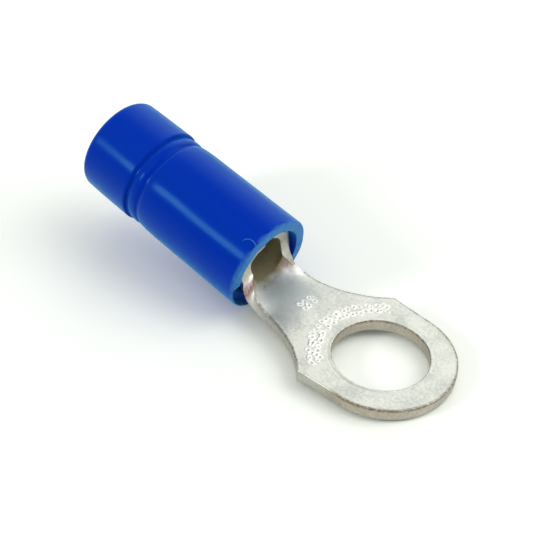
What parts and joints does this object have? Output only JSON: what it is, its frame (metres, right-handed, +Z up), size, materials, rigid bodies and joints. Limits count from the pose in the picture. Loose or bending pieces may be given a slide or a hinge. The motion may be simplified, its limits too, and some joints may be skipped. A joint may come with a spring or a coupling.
{
  "type": "insulated ring terminal",
  "caption": "Crimp ring terminal: a tinned copper ring tongue for a 5 mm stud, cranked up to a rolled wire barrel inside a blue vinyl sleeve with a collared wire entry",
  "frame": {"origin": "centre of the stud hole, on the tongue's underside", "axes": "+Z up along the stud's axis, +X from the stud hole to the tip of the ring, so the sleeve lies towards -X and rises as it goes"},
  "size_m": [0.0238, 0.0078, 0.0073],
  "materials": {
    "tinned_copper": "matt electro-tin plating on copper strip, with sheared and slightly coppery edges",
    "blue_vinyl": "smooth semi-gloss moulded vinyl"
  },
  "bodies": {
    "root": {"terminal": "tinned_copper", "sleeve": "blue_vinyl"}
  },
  "joints": []
}
